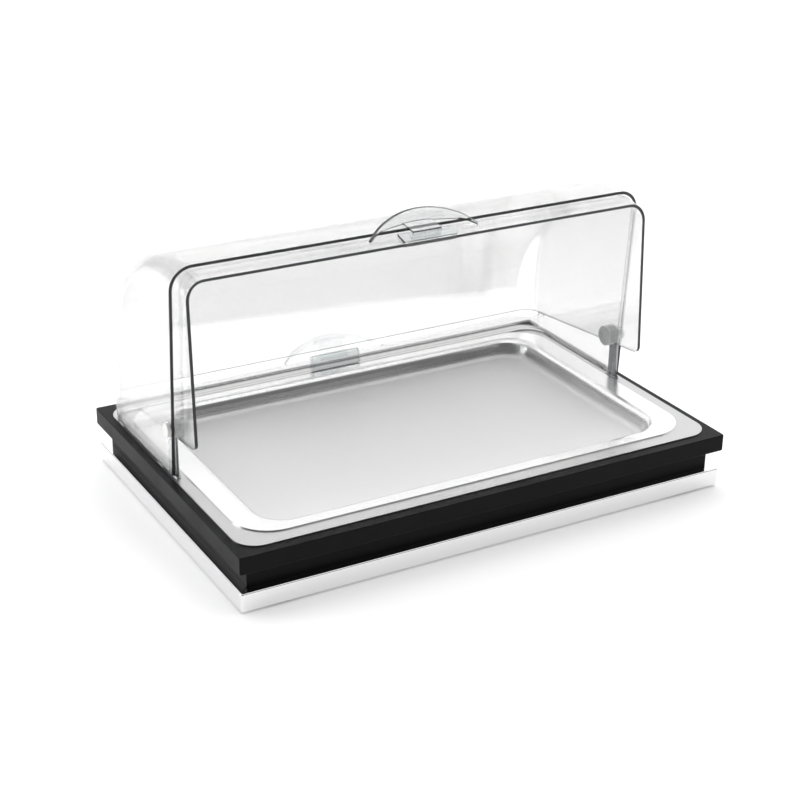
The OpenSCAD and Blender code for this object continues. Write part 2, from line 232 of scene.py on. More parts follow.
# Moulded nitrile rubber: matt, nearly black, with a dusty bloom and a fine pebble from the mould.
rubber = surface("nitrile_rubber_moulded", "#1D1D1E", Roughness=0.82, IOR=1.52)
place = add(rubber, "TexCoord").outputs["Object"]
bloom = add(rubber, "TexNoise", {"Vector": place, "Scale": 90.0, "Detail": 5.0})
dust = add(rubber, "ValToRGB", {"Fac": bloom.outputs["Fac"]}, feeds="Base Color")
dust.color_ramp.elements[0].color = linear("#161617")
dust.color_ramp.elements[1].color = linear("#2A2A2B")
pebble = add(rubber, "TexVoronoi", {"Vector": place, "Scale": 1400.0})
add(rubber, "Bump", {"Height": pebble.outputs["Distance"], "Strength": 0.3, "Distance": 0.0001},
    feeds="Normal")

low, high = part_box("plinth_feet")
block = (0.040, 0.014)
feet = begin("rubber_feet", bpy.ops.mesh.primitive_cylinder_add, vertices=64, radius=18 * MM,
             depth=3.5 * MM, location=(0, 0, 1.75 * MM))
choose("FACE", facing=(0, 0, -1))
bpy.ops.mesh.inset(thickness=3 * MM)
bpy.ops.transform.translate(value=(0, 0, 0.5 * MM))
for side in (-1, 1):
    for end in (-1, 1):
        bpy.ops.mesh.primitive_cube_add(size=1, scale=(*block, high.z), location=(
            side * (high.x - block[0] / 2), end * (high.y - block[1] / 2), high.z / 2))
        bpy.ops.mesh.bevel(offset=1.5 * MM, segments=3, affect="EDGES")
done(feet, "base", [rubber], ["plinth_feet"])

# ---- Base pan ----
# A shallow tray of zinc-plated sheet steel, folded up at its sides and screwed inside the
# plinth. It closes the server from below.

# Zinc-plated sheet: dull blue-grey metal with broad cloudy spangles, about 12 mm across.
zinc = surface("sheet_steel_zinc_plated", "#8E9296", Metallic=1.0)
place = add(zinc, "TexCoord").outputs["Object"]
spangle = add(zinc, "TexVoronoi", {"Vector": place, "Scale": 80.0}, feature="F1")
add(zinc, "MapRange", {"Value": spangle.outputs["Color"], "To Min": 0.34, "To Max": 0.52},
    feeds="Roughness")
tone = add(zinc, "ValToRGB", {"Fac": spangle.outputs["Color"]}, feeds="Base Color")
tone.color_ramp.elements[0].color = linear("#84888C")
tone.color_ramp.elements[1].color = linear("#9A9EA1")

low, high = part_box("base_pan")
folded = (high.x * 2, high.y * 2, 3 * MM)
pan = loft("base_pan_folded", [(*folded, high.z), (*folded, low.z)], floor=True)
round_edges(on(*folded, low.z), 1.5 * MM, 3)
thicken(pan, 1.5 * MM)
done(pan, "base", [zinc], ["base_pan"])

# ---- Pan screws ----
# Six short pan-head screws with a cross recess go through the channel's inner wall into the
# pan's skirt. They are cold-headed steel, plated with bright zinc.

# Bright zinc plating on cold-headed steel: silvery, a little uneven.
plated = surface("screw_steel_bright_zinc", "#B5B7B9", Metallic=1.0)
place = add(plated, "TexCoord").outputs["Object"]
cloud = add(plated, "TexNoise", {"Vector": place, "Scale": 700.0, "Detail": 3.0})
add(plated, "MapRange", {"Value": cloud.outputs["Fac"], "To Min": 0.22, "To Max": 0.42},
    feeds="Roughness")


def carve(piece, tool):
    """Cuts a tool's shape out of a piece and removes the tool."""
    if bpy.context.mode != "OBJECT":
        bpy.ops.object.mode_set(mode="OBJECT")
    bpy.context.view_layer.objects.active = piece
    cut = piece.modifiers.new("cut", "BOOLEAN")
    cut.object, cut.operation, cut.solver = tool, "DIFFERENCE", "EXACT"
    bpy.ops.object.modifier_apply(modifier="cut")
    bpy.data.objects.remove(tool)
    bpy.ops.object.select_all(action="DESELECT")
    piece.select_set(True)


def copies(piece, moves):
    """Copies a piece, each with its own mesh, to each place, then joins them into the first."""
    made = []
    for turn, shift in moves:
        twin = piece.copy()
        twin.data = piece.data.copy()
        twin.matrix_world = Quaternion((0, 0, 1), turn).to_matrix().to_4x4()
        twin.matrix_world.translation = Vector(shift)
        bpy.context.collection.objects.link(twin)
        made.append(twin)
    bpy.ops.object.select_all(action="DESELECT")
    piece.data.transform(made[0].matrix_world)
    for twin in made[1:]:
        twin.data.transform(twin.matrix_world)
        twin.matrix_world = piece.matrix_world
        twin.select_set(True)
    bpy.data.objects.remove(made[0])
    piece.select_set(True)
    bpy.context.view_layer.objects.active = piece
    bpy.ops.object.join()
    return piece


low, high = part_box("pan_screws")
middle = (low.z + high.z) / 2
small_screws = begin("pan_head_screws", bpy.ops.mesh.primitive_cylinder_add, vertices=32,
                     radius=3 * MM, depth=1.5 * MM, rotation=(pi / 2, 0, 0),
                     location=(0, -0.75 * MM, 0))
choose("FACE", facing=(0, 1, 0))
bpy.ops.mesh.inset(thickness=1.5 * MM)
bpy.ops.mesh.extrude_region_move(TRANSFORM_OT_translate={"value": (0, 5 * MM, 0)})
choose("FACE", facing=(0, -1, 0))
bpy.ops.mesh.bevel(offset=0.8 * MM, segments=4, affect="EDGES")
bpy.ops.object.mode_set(mode="OBJECT")
for turn in (0, pi / 2):
    recess = begin("recess", bpy.ops.mesh.primitive_cube_add, size=1,
                   scale=(3 * MM, 1.6 * MM, 0.7 * MM), rotation=(0, turn, 0),
                   location=(0, -1.5 * MM, 0))
    carve(small_screws, recess)
seat, pitch = high.y - 5 * MM, 0.180
copies(small_screws, [(0 if end > 0 else pi, (x, end * seat, middle))
                      for end in (-1, 1) for x in (-pitch, 0, pitch)])
done(small_screws, "base", [plated], ["pan_screws"])

# ---- Insulation board ----
# A 6 mm board of extruded foam lies in the pan and keeps the cold in the basin. It is cut
# from a big sheet, so its edges show the open cells.

# Extruded polystyrene foam: pale, matt, with a close skin of small cells about 0.8 mm wide.
foam = surface("polystyrene_foam_extruded", "#E6E3D4", Roughness=0.9, IOR=1.4)
place = add(foam, "TexCoord").outputs["Object"]
cells = add(foam, "TexVoronoi", {"Vector": place, "Scale": 1200.0}, feature="F1")
add(foam, "Bump", {"Height": cells.outputs["Distance"], "Strength": 0.5, "Distance": 0.0002},
    feeds="Normal")
shade = add(foam, "ValToRGB", {"Fac": cells.outputs["Distance"]}, feeds="Base Color")
shade.color_ramp.elements[0].color = linear("#EAE7D9")
shade.color_ramp.elements[1].color = linear("#D8D4C2")

low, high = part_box("insulation_board")
cut_board = (high.x * 2, high.y * 2, 6 * MM)
board = loft("foam_board_cut", [(*cut_board, low.z), (*cut_board, high.z)], floor=True,
             lid=True)
round_edges(on(*cut_board, high.z), 0.6 * MM, 2)
done(board, "base", [foam], ["insulation_board"])

# ---- Neck ----
# A narrower black frame between plinth and top frame, sawn and mitred from board, and
# sprayed satin black. It makes the top frame seem to float above the plinth.

# Satin black lacquer on board: very dark, with a close orange peel, here drawn about 1.5 mm
# across so that it shows, and with slightly different gloss from place to place.
lacquer = surface("lacquer_satin_black_sprayed", "#060607", Specular_IOR_Level=0.11, IOR=1.5)
place = add(lacquer, "TexCoord").outputs["Object"]
gloss = add(lacquer, "TexNoise", {"Vector": place, "Scale": 14.0, "Detail": 4.0})
add(lacquer, "MapRange", {"Value": gloss.outputs["Fac"], "From Min": 0.3, "From Max": 0.7,
                          "To Min": 0.36, "To Max": 0.46}, feeds="Roughness")
peel = add(lacquer, "TexNoise", {"Vector": place, "Scale": 700.0, "Detail": 2.0})
add(lacquer, "Bump", {"Height": peel.outputs["Fac"], "Strength": 0.12, "Distance": 0.0002},
    feeds="Normal")

low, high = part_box("neck_frame")
neck_outer = (high.x * 2, high.y * 2, 2 * MM)
neck_inner = (neck_outer[0] - 22 * MM, neck_outer[1] - 22 * MM, 4 * MM)
neck = loft("neck_board", [(*neck_outer, low.z), (*neck_outer, high.z), (*neck_inner, high.z),
                           (*neck_inner, low.z)], closed=True)
round_edges(on(*neck_outer, high.z), 0.5 * MM, 2)
round_edges(on(*neck_outer, low.z), 0.5 * MM, 2)
done(neck, "base", [lacquer], ["neck_frame"])

# ---- Top frame ----
# The black slab that everything stands on: 18.5 mm board with a routed opening for the basin.
# Its edges are eased with a router and it is sprayed with the same lacquer as the neck.

low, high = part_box("top_frame")
slab_outer = (high.x * 2, high.y * 2, 2 * MM)
opening = (0.5245, 0.322, 40 * MM)
slab = loft("top_slab", [(*slab_outer, low.z), (*slab_outer, high.z), (*opening, high.z),
                         (*opening, low.z)], closed=True)
round_edges(on(*slab_outer, high.z), 1.0 * MM, 4)
round_edges(on(*slab_outer, low.z), 1.0 * MM, 4)
round_edges(on(*opening, high.z), 0.6 * MM, 2)
done(slab, "base", [lacquer], ["top_frame"])

# ---- Frame screws ----
# Eight long socket-head screws hold plinth, neck and slab together from below. They are
# turned steel with bright zinc plating and a hexagon socket.

low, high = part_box("frame_screws")
shank = high.z - low.z - 3 * MM
screws = begin("socket_screws", bpy.ops.mesh.primitive_cylinder_add, vertices=32,
               radius=4 * MM, depth=3 * MM, location=(0, 0, low.z + 1.5 * MM))
choose("FACE", facing=(0, 0, 1))
bpy.ops.mesh.inset(thickness=1.5 * MM)
bpy.ops.mesh.extrude_region_move(TRANSFORM_OT_translate={"value": (0, 0, shank - 1 * MM)})
bpy.ops.mesh.extrude_region_move(TRANSFORM_OT_translate={"value": (0, 0, 1 * MM)})
bpy.ops.transform.resize(value=(0.7, 0.7, 1))
choose("FACE", facing=(0, 0, -1))
bpy.ops.mesh.bevel(offset=0.5 * MM, segments=3, affect="EDGES")
bpy.ops.object.mode_set(mode="OBJECT")
socket = begin("socket", bpy.ops.mesh.primitive_cylinder_add, vertices=6, radius=1.7 * MM,
               depth=4 * MM, location=(0, 0, low.z))
carve(screws, socket)
copies(screws, [(0, (x, y, 0)) for sx in (-1, 1) for sy in (-1, 1)
                for x, y in ((sx * (high.x - 4 * MM), sy * 0.100),
                             (sx * 0.120, sy * (high.y - 4 * MM)))])
done(screws, "base", [plated], ["frame_screws"])

# ---- Basin ----
# A deep-drawn stainless basin hangs in the slab's opening by its flat rim. The rim has a
# fine satin finish; the bowl keeps the drawn grain of the sheet.

# Satin stainless steel: soft grey metal, finely brushed along the server. The brush lines
# are drawn about 0.7 mm apart so that they show.
satin_steel = surface("stainless_steel_satin_brushed", "#C6C6C6", Metallic=1.0)
place = add(satin_steel, "TexCoord").outputs["Object"]
along = add(satin_steel, "Mapping", {"Vector": place, "Scale": (6, 300, 300)})
brush = add(satin_steel, "TexNoise", {"Vector": along.outputs[0], "Scale": 4.0, "Detail": 5.0,
                                      "Roughness": 0.7})
add(satin_steel, "MapRange", {"Value": brush.outputs["Fac"], "From Min": 0.3, "From Max": 0.7,
                              "To Min": 0.26, "To Max": 0.36}, feeds="Roughness")
add(satin_steel, "Bump", {"Height": brush.outputs["Fac"], "Strength": 0.12,
                          "Distance": 0.0001}, feeds="Normal")

low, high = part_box("steel_basin")
gauge = 1.2 * MM
rim = (high.x * 2, high.y * 2, 25 * MM, high.z)
mouth = (0.518, 0.316, 36.8 * MM, high.z)
sump = (0.516, 0.314, 35.8 * MM, low.z + gauge)
basin = loft("basin_drawn", [rim, mouth, sump], floor=True)
face_up(on(*sump))
round_edges(on(*mouth), 3 * MM, 6)
round_edges(on(*sump), 9 * MM, 7)
thicken(basin, gauge)
done(basin, "basin", [satin_steel], ["steel_basin"])

# ---- Cooling packs ----
# Two flat packs of blow-moulded polyethylene, filled with brine and frozen, lie on the
# basin's floor. Each has two sunk panels and a screwed filler cap in a round recess.

# Blow-moulded polyethylene: waxy, slightly see-through blue with a very fine mould grain.
pack_blue = surface("polyethylene_blow_moulded", "#8FB8DC", Roughness=0.38, IOR=1.51,
                    Subsurface_Weight=0.25, Subsurface_Scale=0.004)
place = add(pack_blue, "TexCoord").outputs["Object"]
depth_tone = add(pack_blue, "TexNoise", {"Vector": place, "Scale": 18.0, "Detail": 3.0})
tint = add(pack_blue, "ValToRGB", {"Fac": depth_tone.outputs["Fac"]}, feeds="Base Color")
tint.color_ramp.elements[0].color = linear("#83AFD6")
tint.color_ramp.elements[1].color = linear("#A3C6E3")
grain = add(pack_blue, "TexNoise", {"Vector": place, "Scale": 900.0, "Detail": 2.0})
add(pack_blue, "Bump", {"Height": grain.outputs["Fac"], "Strength": 0.15,
                        "Distance": 0.0002}, feeds="Normal")

low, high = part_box("cooling_pack_right")
middle = (low.x + high.x) / 2
edge = (high.x - low.x, high.y * 2, 16 * MM)
pack = loft("cooling_pack_blown_right", [(*edge, low.z), (*edge, high.z)], floor=True, lid=True)
round_edges(lambda p: on(*edge, low.z)(p) or on(*edge, high.z)(p), 4 * MM, 5)
for end in (-1, 1):
    panel = (0.176, 0.060, 10 * MM)
    sunk = loft("sunk", [(*panel, high.z - 2 * MM), (*panel, high.z + 4 * MM)], floor=True,
                lid=True)
    bpy.ops.transform.translate(value=(0, end * 62 * MM, 0))
    carve(pack, sunk)
recess = begin("recess", bpy.ops.mesh.primitive_cylinder_add, vertices=64, radius=15 * MM,
               depth=12 * MM, location=(0, -114 * MM, high.z))
carve(pack, recess)
pack.data.transform(Matrix.Translation((middle, 0, 0)))
other = pack.copy()
other.data = pack.data.copy()
other.name = other.data.name = "cooling_pack_blown_left"
bpy.context.collection.objects.link(other)
other.data.transform(Matrix.Translation((-2 * middle, 0, 0)))
done(pack, "basin", [pack_blue], ["cooling_pack_right"])
bpy.ops.object.select_all(action="DESELECT")
other.select_set(True)
bpy.context.view_layer.objects.active = other
done(other, "basin", [pack_blue], ["cooling_pack_left"])

# The filler caps are moulded in a darker blue, with a slot for a coin and a milled edge.

cap_blue = surface("polyethylene_moulded_blue", "#2F5F9E", Roughness=0.35, IOR=1.51)
place = add(cap_blue, "TexCoord").outputs["Object"]
swirl = add(cap_blue, "TexNoise", {"Vector": place, "Scale": 120.0, "Detail": 3.0})
add(cap_blue, "MapRange", {"Value": swirl.outputs["Fac"], "To Min": 0.28, "To Max": 0.45},
    feeds="Roughness")

low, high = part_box("pack_caps")
caps = begin("filler_caps", bpy.ops.mesh.primitive_cylinder_add, vertices=48, radius=12 * MM,
             depth=high.z - low.z, location=(0, 0, (high.z + low.z) / 2))
choose("FACE", facing=(0, 0, 1))
bpy.ops.mesh.bevel(offset=0.8 * MM, segments=3, affect="EDGES")
mesh = bmesh.from_edit_mesh(caps.data)
bpy.ops.mesh.select_mode(type="FACE")
bpy.ops.mesh.select_all(action="DESELECT")
for face in mesh.faces:
    ribs = round(atan2(face.calc_center_median().y, face.calc_center_median().x) / (pi / 24) - 0.5)
    face.select_set(abs(face.normal.z) < 0.1 and ribs % 2 == 0)
bpy.ops.mesh.inset(thickness=0.2 * MM, depth=-0.4 * MM, use_individual=True)
bpy.ops.object.mode_set(mode="OBJECT")
coin = begin("coin", bpy.ops.mesh.primitive_cube_add, size=1, scale=(16 * MM, 3 * MM, 4 * MM),
             location=(0, 0, high.z))
carve(caps, coin)
copies(caps, [(0, (side * middle, (low.y + high.y) / 2, 0)) for side in (-1, 1)])
done(caps, "basin", [cap_blue], ["pack_caps"])

# ---- Serving tray ----
# A gastronorm tray pressed from 1.2 mm stainless sheet: a broad flat rim, a crease, a round
# shoulder, steep walls and a flat floor. The rim is buffed and the floor is left satin.

# Pressed stainless steel: buffed and bright on the rim and walls, finely blasted on the
# floor, which scatters light almost like paper, so it looks pale and even, with soft
# cloudy marks of use over the grain. The floor is only partly metallic to give that look.
# The grain is drawn about 0.6 mm wide.
tray_steel = surface("stainless_steel_pressed_satin", "#F0F0F0", Metallic=1.0)
place = add(tray_steel, "TexCoord").outputs["Object"]
along = add(tray_steel, "Mapping", {"Vector": place, "Scale": (10, 350, 350)})
brush = add(tray_steel, "TexNoise", {"Vector": along.outputs[0], "Scale": 4.0, "Detail": 5.0,
                                     "Roughness": 0.7})
cloud = add(tray_steel, "TexNoise", {"Vector": place, "Scale": 9.0, "Detail": 3.0})
height = add(tray_steel, "SeparateXYZ", {"Vector": place})
low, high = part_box("serving_tray")
rise = add(tray_steel, "MapRange", {"Value": height.outputs["Z"], "From Min": low.z + 2 * MM,
                                    "From Max": low.z + 8 * MM, "To Min": 0.5, "To Max": 0.16})
mixed = add(tray_steel, "Math", {0: cloud.outputs["Fac"], 1: 0.08, 2: rise.outputs[0]},
            operation="MULTIPLY_ADD")
add(tray_steel, "Math", {0: brush.outputs["Fac"], 1: 0.08, 2: mixed.outputs[0]},
    feeds="Roughness", operation="MULTIPLY_ADD")
add(tray_steel, "MapRange", {"Value": height.outputs["Z"], "From Min": low.z + 2 * MM,
                             "From Max": low.z + 4 * MM, "To Min": 0.35}, feeds="Metallic")
add(tray_steel, "Bump", {"Height": brush.outputs["Fac"], "Strength": 0.08, "Distance": 0.0001},
    feeds="Normal")

rings = [(530 * MM, 325 * MM, 42 * MM, high.z), (486 * MM, 304 * MM, 36 * MM, high.z),
         (479 * MM, 296 * MM, 33.5 * MM, high.z - 0.5 * MM),
         (474 * MM, 290.6 * MM, 31.8 * MM, high.z - 1.6 * MM),
         (470.4 * MM, 286.8 * MM, 30.6 * MM, high.z - 3.6 * MM),
         (467.6 * MM, 284 * MM, 29.6 * MM, high.z - 8 * MM),
         (460.8 * MM, 277.2 * MM, 27 * MM, high.z - 19.5 * MM)]
tray = loft("tray_pressed", rings, floor=True)
face_up(on(*rings[-1]))
round_edges(on(*rings[-1]), 5 * MM, 6)
choose("EDGE", on(*rings[1]))
bpy.ops.mesh.mark_sharp()
thicken(tray, 1.2 * MM)
done(tray, "tray", [tray_steel], ["serving_tray"])

# ---- Hinge posts ----
# Each side of the hood hangs on a strip of stainless steel that stands on the basin's rim
# on a small oval foot. A clear moulded boss on its top carries the pivot bolt.

# Cold-rolled stainless strip, ground lengthwise: grey, with fine upright lines.
strip_steel = surface("stainless_strip_ground", "#A6A9AA", Metallic=1.0)
place = add(strip_steel, "TexCoord").outputs["Object"]
upright = add(strip_steel, "Mapping", {"Vector": place, "Scale": (500, 500, 12)})
ground = add(strip_steel, "TexNoise", {"Vector": upright.outputs[0], "Scale": 2.0, "Detail": 4.0})
add(strip_steel, "MapRange", {"Value": ground.outputs["Fac"], "From Min": 0.3, "From Max": 0.7,
                              "To Min": 0.2, "To Max": 0.3}, feeds="Roughness")
add(strip_steel, "Bump", {"Height": ground.outputs["Fac"], "Strength": 0.1, "Distance": 0.0001},
    feeds="Normal")

# Clear moulded polycarbonate: glassy, with the slightest flow lines from the mould.
clear_moulded = surface("polycarbonate_moulded_clear", "#F4F6F6", Transmission_Weight=1.0,
                        IOR=1.585)
place = add(clear_moulded, "TexCoord").outputs["Object"]
flow = add(clear_moulded, "TexNoise", {"Vector": place, "Scale": 160.0, "Detail": 2.0})
add(clear_moulded, "MapRange", {"Value": flow.outputs["Fac"], "To Min": 0.0, "To Max": 0.08},
    feeds="Roughness")
add(clear_moulded, "Bump", {"Height": flow.outputs["Fac"], "Strength": 0.1,
                            "Distance": 0.0003}, feeds="Normal")

# The same plastic in thick solid mouldings: the light that goes round inside them makes them
# look pale and a little milky, with glints on their rims.
clear_solid = surface("polycarbonate_moulded_solid", "#F6F7F7", Transmission_Weight=0.45,
                      IOR=1.585)
place = add(clear_solid, "TexCoord").outputs["Object"]
flow = add(clear_solid, "TexNoise", {"Vector": place, "Scale": 160.0, "Detail": 2.0})
add(clear_solid, "MapRange", {"Value": flow.outputs["Fac"], "To Min": 0.04, "To Max": 0.12},
    feeds="Roughness")
add(clear_solid, "Bump", {"Height": flow.outputs["Fac"], "Strength": 0.1,
                          "Distance": 0.0003}, feeds="Normal")

bolt_low, bolt_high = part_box("pivot_bolt_right")
pivot = Vector((0, (bolt_low.y + bolt_high.y) / 2, (bolt_low.z + bolt_high.z) / 2))
rim_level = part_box("steel_basin")[1].z
strip_t, strip_w = 3 * MM, 14 * MM
strip_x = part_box("front_shell")[1].x + 0.3 * MM + strip_t / 2


def both_sides(piece, name, body, materials, replaced):
    """Finishes a piece drawn on the right and a mirrored copy of it on the left."""
    bpy.ops.object.mode_set(mode="OBJECT")
    twin = piece.copy()
    twin.data = piece.data.copy()
    bpy.context.collection.objects.link(twin)
    for side, half in (("right", piece), ("left", twin)):
        bpy.ops.object.select_all(action="DESELECT")
        half.select_set(True)
        bpy.context.view_layer.objects.active = half
        half.name = half.data.name = name + "_" + side
        if side == "left":
            bpy.ops.object.mode_set(mode="EDIT")
            bpy.ops.mesh.select_all(action="SELECT")
            bpy.ops.transform.mirror(constraint_axis=(True, False, False),
                                     center_override=(0, 0, 0))
            bpy.ops.mesh.normals_make_consistent(inside=False)
        done(half, body, materials, [node + "_" + side for node in replaced])


strip_top = pivot.z - 7 * MM
post = begin("post", bpy.ops.mesh.primitive_cube_add, size=1,
             scale=(strip_t, strip_w, strip_top - rim_level),
             location=(strip_x, pivot.y, (strip_top + rim_level) / 2))
bpy.ops.mesh.bevel(offset=0.5 * MM, segments=3, affect="EDGES")
foot_t = 1.2 * MM
bpy.ops.mesh.primitive_cylinder_add(vertices=48, radius=11 * MM, depth=foot_t,
                                    location=(strip_x, pivot.y, rim_level + foot_t / 2))
bpy.ops.transform.resize(value=(0.36, 1, 1), center_override=(strip_x, pivot.y, rim_level))
choose("EDGE", lambda p: abs(p.z - rim_level - foot_t) < 1e-6)
bpy.ops.mesh.bevel(offset=0.4 * MM, segments=3, affect="EDGES")
both_sides(post, "post_strip", "hood", [strip_steel], ["hinge_post"])

boss_r = 10 * MM
boss = begin("boss", bpy.ops.mesh.primitive_cylinder_add, vertices=64, radius=boss_r,
             depth=strip_t, rotation=(0, pi / 2, 0), location=(strip_x, pivot.y, pivot.z))
choose("FACE", facing=(-1, 0, 0))
bpy.ops.mesh.inset(thickness=1.6 * MM)
bpy.ops.transform.translate(value=(0.6 * MM, 0, 0))
choose("EDGE", lambda p: abs(hypot(p.y - pivot.y, p.z - pivot.z) - boss_r) < 1e-5 and
       abs(abs(p.x - strip_x) - strip_t / 2) < 1e-6)
bpy.ops.mesh.bevel(offset=0.6 * MM, segments=3, affect="EDGES")
both_sides(boss, "post_boss", "hood", [clear_solid], ["hinge_post"])

# ---- Pivot bolts ----
# A clear moulded bolt passes through post and shells on each side. Its knob inside the hood
# has shallow flutes for the fingers, and its shank is the pin that the front half turns on.

bolt = begin("bolt", bpy.ops.mesh.primitive_cylinder_add, vertices=48, radius=8 * MM,
             depth=8 * MM - 0.05 * MM, rotation=(0, pi / 2, 0),
             location=(bolt_low.x + 4 * MM, pivot.y, pivot.z))
mesh = bmesh.from_edit_mesh(bolt.data)
bpy.ops.mesh.select_mode(type="FACE")
bpy.ops.mesh.select_all(action="DESELECT")
for face in mesh.faces:
    spoke = face.calc_center_median() - pivot
    turn = round(atan2(spoke.z, spoke.y) / (pi / 24) - 0.5)
    face.select_set(abs(face.normal.x) < 0.1 and turn % 4 == 0)
bpy.ops.mesh.inset(thickness=0.15 * MM, depth=-0.6 * MM, use_individual=True)
choose("FACE", lambda p: p.x < bolt_low.x + 0.1 * MM, facing=(-1, 0, 0))
bpy.ops.mesh.inset(thickness=1.2 * MM)
bpy.ops.mesh.extrude_region_move(TRANSFORM_OT_translate={"value": (0.8 * MM, 0, 0)})
choose("FACE", facing=(1, 0, 0))
bpy.ops.mesh.inset(thickness=4 * MM)
bpy.ops.mesh.extrude_region_move(TRANSFORM_OT_translate={
    "value": (bolt_high.x - bolt_low.x - 8 * MM, 0, 0)})
both_sides(bolt, "bolt_moulded", "hood", [clear_solid], ["pivot_bolt"])

# ---- Pivot caps ----
# White moulded caps are pushed on the bolts' ends outside the hood and keep the shells on.

# White moulded nylon: a soft even sheen with a barely visible mottle.
white_nylon = surface("nylon_moulded_white", "#EDEDEA", IOR=1.53)
place = add(white_nylon, "TexCoord").outputs["Object"]
mottle = add(white_nylon, "TexNoise", {"Vector": place, "Scale": 260.0, "Detail": 3.0})
add(white_nylon, "MapRange", {"Value": mottle.outputs["Fac"], "To Min": 0.3, "To Max": 0.46},
    feeds="Roughness")
add(white_nylon, "Bump", {"Height": mottle.outputs["Fac"], "Strength": 0.1,
                          "Distance": 0.0002}, feeds="Normal")

low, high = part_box("pivot_cap_right")
cap = begin("cap", bpy.ops.mesh.primitive_cylinder_add, vertices=64, radius=7.5 * MM,
            depth=high.x - low.x, rotation=(0, pi / 2, 0),
            location=((low.x + high.x) / 2, pivot.y, pivot.z))
choose("FACE", facing=(1, 0, 0))
bpy.ops.mesh.inset(thickness=2.2 * MM)
bpy.ops.mesh.inset(thickness=0.8 * MM, depth=-0.5 * MM)
choose("EDGE", lambda p: abs(hypot(p.y - pivot.y, p.z - pivot.z) - 7.5 * MM) < 1e-5 and
       abs(p.x - high.x) < 1e-6)
bpy.ops.mesh.bevel(offset=1.2 * MM, segments=5, affect="EDGES")
both_sides(cap, "cap_moulded", "hood", [white_nylon], ["pivot_cap"])

# ---- Rear half of the hood ----
# The fixed rear half: clear polycarbonate sheet 3.4 mm thick, formed as one drum quarter
# with rounded ends, trimmed on a saw and hung on the two bolts.

# Extruded polycarbonate sheet: clear with polished faces, and a trace of waviness from
# forming that bends straight lines seen through it. The alpha lets half the light straight
# through, as refraction alone leaves the tray under the hood too dark.
clear_sheet = surface("polycarbonate_sheet_clear", "#FBFBFB", Transmission_Weight=1.0, IOR=1.585,
                      Alpha=0.5)
place = add(clear_sheet, "TexCoord").outputs["Object"]
wave = add(clear_sheet, "TexNoise", {"Vector": place, "Scale": 14.0, "Detail": 1.0})
add(clear_sheet, "MapRange", {"Value": wave.outputs["Fac"], "To Min": 0.0, "To Max": 0.03},
    feeds="Roughness")
add(clear_sheet, "Bump", {"Height": wave.outputs["Fac"], "Strength": 0.05, "Distance": 0.002},
    feeds="Normal")

# The sheet's sawn and flamed edge: its colour is painted shade, almost black, standing for the
# light that goes round inside the sheet so that little comes out. It has fine saw marks about 1 mm
# apart.
sheet_edge_painted_shade = surface("polycarbonate_edge_painted_shade", "#1C1F20", IOR=1.585)
place = add(sheet_edge_painted_shade, "TexCoord").outputs["Object"]
saw = add(sheet_edge_painted_shade, "TexNoise", {"Vector": place, "Scale": 900.0, "Detail": 2.0})
add(sheet_edge_painted_shade, "MapRange", {"Value": saw.outputs["Fac"], "To Min": 0.25, "To Max": 0.5},
    feeds="Roughness")
add(sheet_edge_painted_shade, "Bump", {"Height": saw.outputs["Fac"], "Strength": 0.15, "Distance": 0.0001},
    feeds="Normal")

sheet_t = 3.4 * MM
clip_half = 31 * MM


def drum(name, radius, half, bend, bore):
    """A drum's skin round the pivots' axis, with rounded ends and a bore in each side."""
    piece = begin(name, bpy.ops.mesh.primitive_plane_add, size=1, rotation=(pi / 2, 0, 0))
    bpy.ops.transform.resize(value=(2 * half, 1, radius - bore), center_override=(0, 0, 0))
    bpy.ops.transform.translate(value=(0, pivot.y, pivot.z + (radius + bore) / 2))
    choose("VERT", lambda p: p.z > pivot.z + radius - 1e-5)
    bpy.ops.mesh.bevel(offset=bend, segments=14, affect="VERTICES")
    bpy.ops.mesh.select_all(action="SELECT")
    bpy.ops.mesh.delete(type="ONLY_FACE")
    choose("EDGE", lambda p: p.z < pivot.z + bore + 1e-5)
    bpy.ops.mesh.delete(type="EDGE")
    bpy.ops.mesh.select_all(action="SELECT")
    bpy.ops.mesh.spin(steps=180, angle=2 * pi, center=pivot, axis=(1, 0, 0), use_auto_merge=True)
    bpy.ops.mesh.select_all(action="SELECT")
    bpy.ops.mesh.remove_doubles(threshold=1e-5)
    bpy.ops.mesh.normals_make_consistent(inside=False)
    for x in (-clip_half, clip_half):
        bpy.ops.mesh.select_all(action="SELECT")
        bpy.ops.mesh.bisect(plane_co=(x, 0, 0), plane_no=(1, 0, 0))
    return piece


def trim(point, normal):
    """Saws off what lies beyond a plane."""
    bpy.ops.mesh.select_all(action="SELECT")
    bpy.ops.mesh.bisect(plane_co=point, plane_no=normal, clear_outer=True)


def clear_at_clip(piece, place):
    """Gives the sheet's edge the clear material instead of its painted shade where a clip covers
    it.
    """
    bpy.ops.object.mode_set(mode="EDIT")
    choose("FACE", place)
    piece.active_material_index = 0
    bpy.ops.object.material_slot_assign()


low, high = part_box("rear_shell")
rear_radius = high.y - pivot.y
rear_lead = 7 * MM
rear_lean = radians(3.8)
rear = drum("rear_half", rear_radius, high.x, 25 * MM, 4.05 * MM)
ahead = Vector((0, -cos(rear_lean), -sin(rear_lean)))
trim(pivot + ahead * rear_lead, ahead)
trim((0, 0, low.z), (0, 0, -1))
rear.data.materials.append(clear_sheet)
rear.data.materials.append(sheet_edge_painted_shade)
# The sawn edges take the second material, the edge painted almost black as painted shade.
thicken(rear, sheet_t, 1)
clear_at_clip(rear, lambda p: abs(p.z - low.z) < 1e-5 and abs(p.x) < clip_half + 1e-5)
done(rear, "hood", [clear_sheet, sheet_edge_painted_shade], ["rear_shell"])

# ---- Rear grip and clip ----
# A clear moulded grip sits on the lower edge of the rear half: a channel clip pushed over
# the sheet, and on it an arched leaf to lift with. Both are glued to the sheet.

edge_lead = pivot.z - low.z
grip_half, grip_rise, grip_reach, leaf_t = 64 * MM, 18.5 * MM, 18 * MM, 3 * MM


